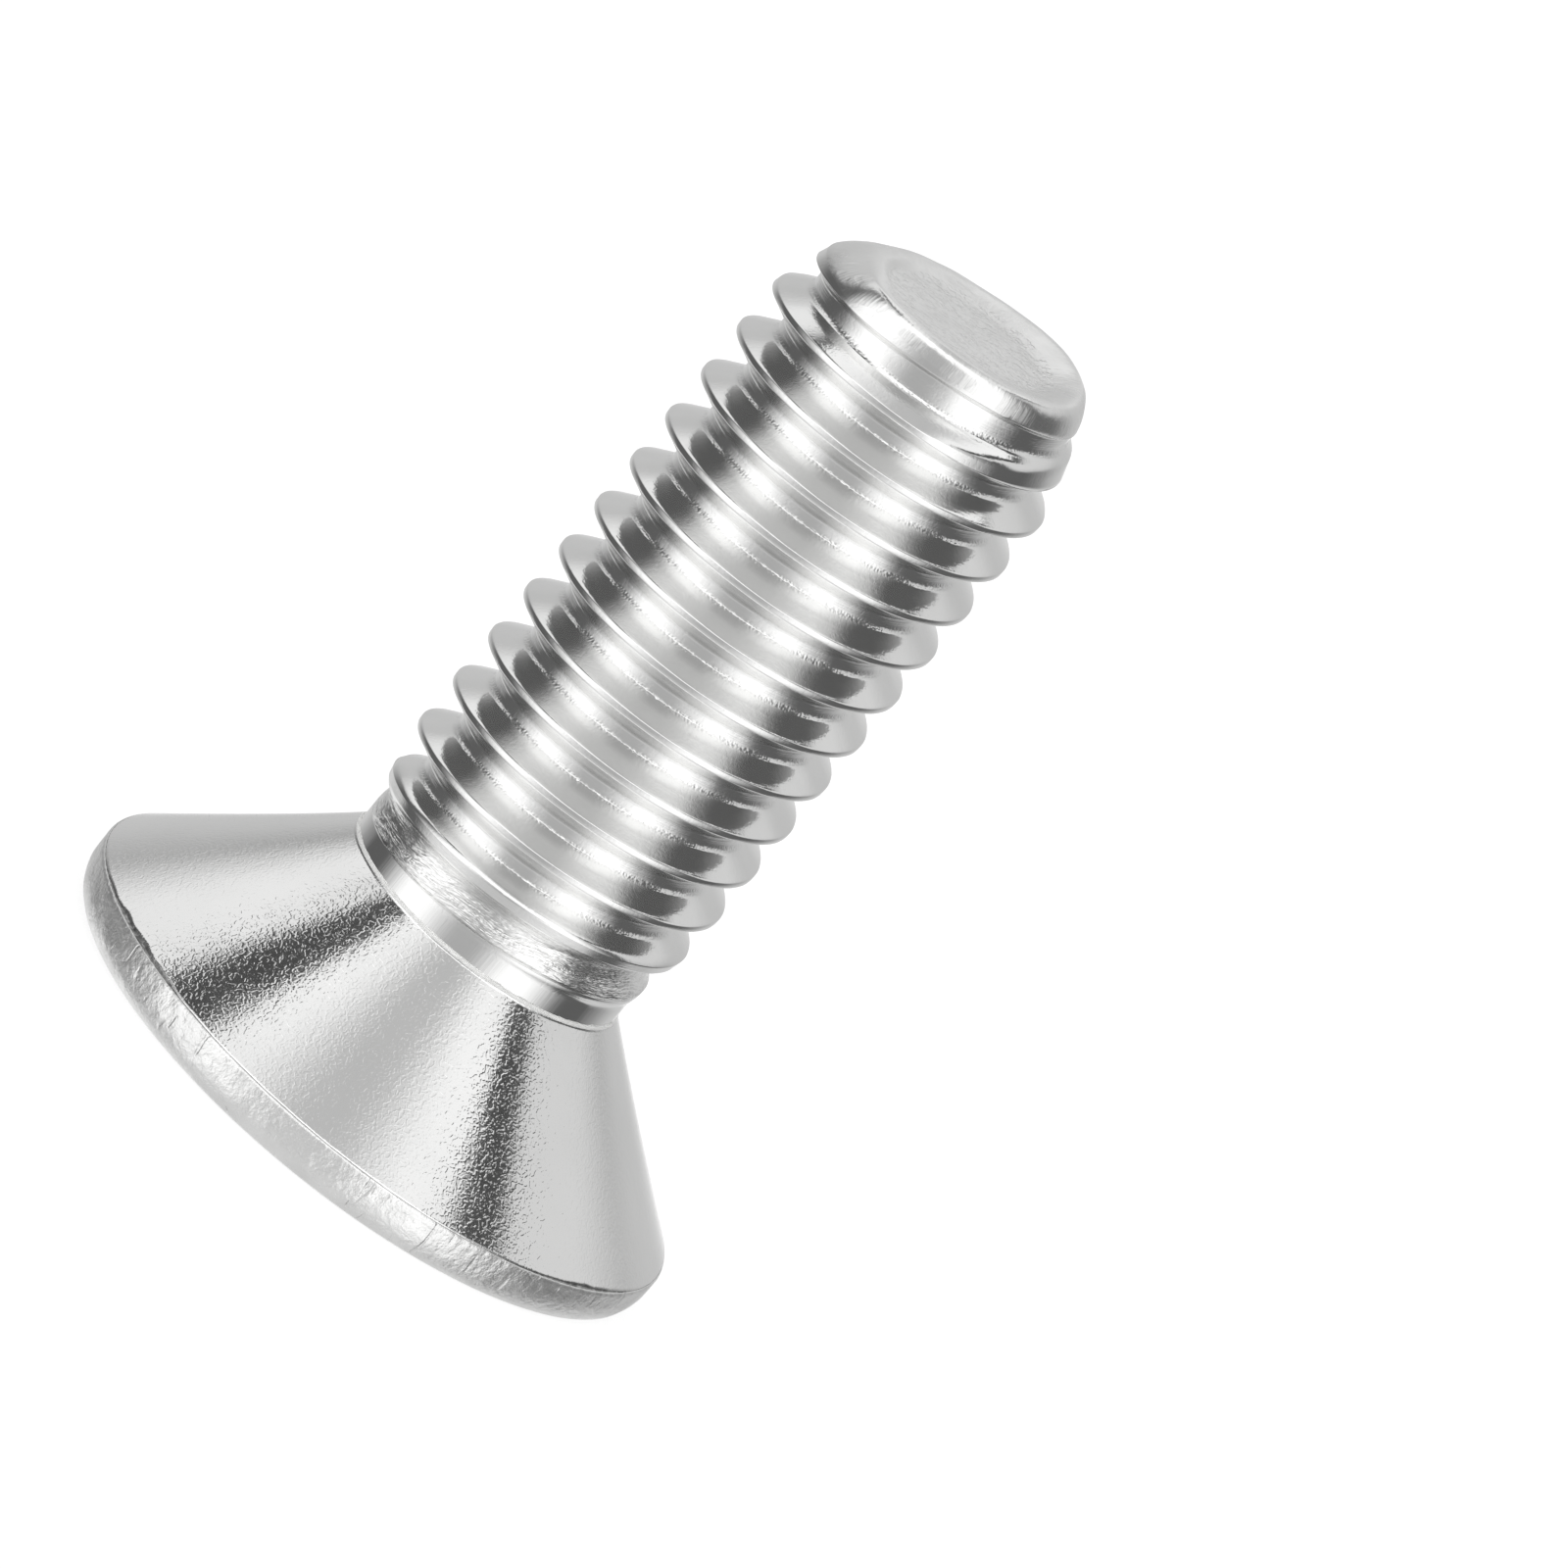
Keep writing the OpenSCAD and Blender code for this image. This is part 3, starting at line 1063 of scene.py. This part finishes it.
def make_tone():
    """Slow change of tone and gloss over the metal, which is a trace warmer than grey."""
    dark_to_light, blue_share = (0.3, 0.7), 0.993
    inputs = {"Size": 1.5, "Dark": 0.83, "Light": 0.87, "Smooth": 0.12, "Rough": 0.2}
    tree, given, result = new_effect("tone", inputs, ["Tone", "Gloss"])
    field = noise_at(tree, *place_by_size(tree, given["Size"]), detail=4.0, roughness=0.6)
    share = soft_range(tree, field, *dark_to_light)
    grey = mix_values(tree, share, given["Dark"], given["Light"])
    tint = tree.nodes.new("ShaderNodeCombineColor")
    tree.links.new(grey, tint.inputs["Red"])
    tree.links.new(grey, tint.inputs["Green"])
    tree.links.new(times(tree, grey, blue_share), tint.inputs["Blue"])
    tree.links.new(tint.outputs["Color"], result["Tone"])
    tree.links.new(mix_values(tree, share, given["Rough"], given["Smooth"]), result["Gloss"])
    return tree


GRAIN = make_grain()
DRAWN_LINES = make_drawn_lines()
ROLLED_LINES = make_rolled_lines()
FOLDS = make_folds()
LUMPS = make_lumps()
PITS = make_pits()
TONE = make_tone()


# Steels, one for each zone of the skin; their relief is in millimetres

def steel(name, tone_values, parts):
    """Bright steel with a tone and with a relief that is the sum of some effects."""
    material = bpy.data.materials.new(name)
    material.use_nodes = True
    tree = material.node_tree
    shader = tree.nodes["Principled BSDF"]
    shader.inputs["Metallic"].default_value = 1
    tone = place_effect(tree, TONE, **tone_values)
    tree.links.new(tone["Tone"], shader.inputs["Base Color"])
    tree.links.new(tone["Gloss"], shader.inputs["Roughness"])
    heights = [place_effect(tree, effect, **values)["Height"] for effect, values in parts]
    relief = heights[0]
    for height in heights[1:]:
        relief = plus(tree, relief, height)
    bump = tree.nodes.new("ShaderNodeBump")
    bump.inputs["Distance"].default_value = MM
    tree.links.new(relief, bump.inputs["Height"])
    tree.links.new(bump.outputs["Normal"], shader.inputs["Normal"])
    return material


def socket_steel():
    tone = dict(size=1.2, dark=0.78, light=0.84, smooth=0.2, rough=0.3)
    return steel("socket_steel", tone, [(DRAWN_LINES, dict(count=40, length=2.5, depth=0.006))])


def face_steel():
    tone = dict(size=2.5, dark=0.8, light=0.86, smooth=0.26, rough=0.36)
    relief = [
        (DRAWN_LINES, dict(count=70, length=1.0, depth=0.012)),
        (PITS, dict(size=0.15, depth=0.006, amount=0.5)),
        (GRAIN, dict(size=0.07, dimples=0.002, worms=0.0005)),
    ]
    return steel("face_steel", tone, relief)


def band_steel():
    tone = dict(size=0.8, dark=0.85, light=0.93, smooth=0.32, rough=0.42)
    relief = [
        (LUMPS, dict(size=0.3, depth=0.035, nicks=0.008)),
        (GRAIN, dict(size=0.09, dimples=0.006, worms=0.001)),
    ]
    return steel("band_steel", tone, relief)


# Painted shade: the seam's steel is made dark to stand in for the shade inside the step
def seam_steel_painted_shade():
    tone = dict(size=0.12, dark=0.15, light=0.5, smooth=0.3, rough=0.5)
    return steel("seam_steel_painted_shade", tone, [(GRAIN, dict(size=0.09, dimples=0.01, worms=0.001))])


def cone_steel():
    tone = dict(size=2.5, dark=0.84, light=0.88, smooth=0.07, rough=0.12)
    relief = [
        (GRAIN, dict(size=0.085, dimples=0.0016, worms=0.0009)),
        (DRAWN_LINES, dict(count=50, length=0.6, depth=0.0006)),
    ]
    return steel("cone_steel", tone, relief)


# Painted highlight: the bead's steel is made paler than the other steels, so that it shows as a
# light line
def bead_steel_painted_highlight():
    tone = dict(size=0.1, dark=0.93, light=1.0, smooth=0.8, rough=0.95)
    return steel("bead_steel_painted_highlight", tone, [(GRAIN, dict(size=0.05, dimples=0.01, worms=0.001))])


def neck_steel():
    tone = dict(size=1.0, dark=0.83, light=0.87, smooth=0.08, rough=0.12)
    return steel("neck_steel", tone, [(DRAWN_LINES, dict(count=50, length=0.8, depth=0.0012))])


def thread_steel():
    tone = dict(size=1.5, dark=0.83, light=0.88, smooth=0.08, rough=0.14)
    relief = [
        (ROLLED_LINES, dict(width=0.022, depth=0.0035, burr=0.005)),
        (FOLDS, dict(start=3.5, end=3.95, depth=0.06)),
        (GRAIN, dict(size=0.06, dimples=0.0012, worms=0.0002)),
    ]
    return steel("thread_steel", tone, relief)


def rim_steel():
    tone = dict(size=0.8, dark=0.82, light=0.87, smooth=0.18, rough=0.28)
    relief = [
        (DRAWN_LINES, dict(count=40, length=1.0, depth=0.003)),
        (GRAIN, dict(size=0.14, dimples=0.004, worms=0.0006)),
    ]
    return steel("rim_steel", tone, relief)


def tip_steel():
    tone = dict(size=0.8, dark=0.82, light=0.87, smooth=0.18, rough=0.28)
    relief = [
        (PITS, dict(size=0.12, depth=0.006, amount=0.7)),
        (GRAIN, dict(size=0.1, dimples=0.005, worms=0.002)),
    ]
    return steel("tip_steel", tone, relief)


add_camera()
bpy.context.scene.view_settings.view_transform = "Standard"
build_world()
build_table()

steels = {
    "socket": socket_steel(),
    "face": face_steel(),
    "band": band_steel(),
    "seam": seam_steel_painted_shade(),
    "cone": cone_steel(),
    "bead": bead_steel_painted_highlight(),
    "neck": neck_steel(),
    "thread": thread_steel(),
    "rim": rim_steel(),
    "tip": tip_steel(),
}
screw = build_screw(steels)
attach(screw, "root")
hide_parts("screw")
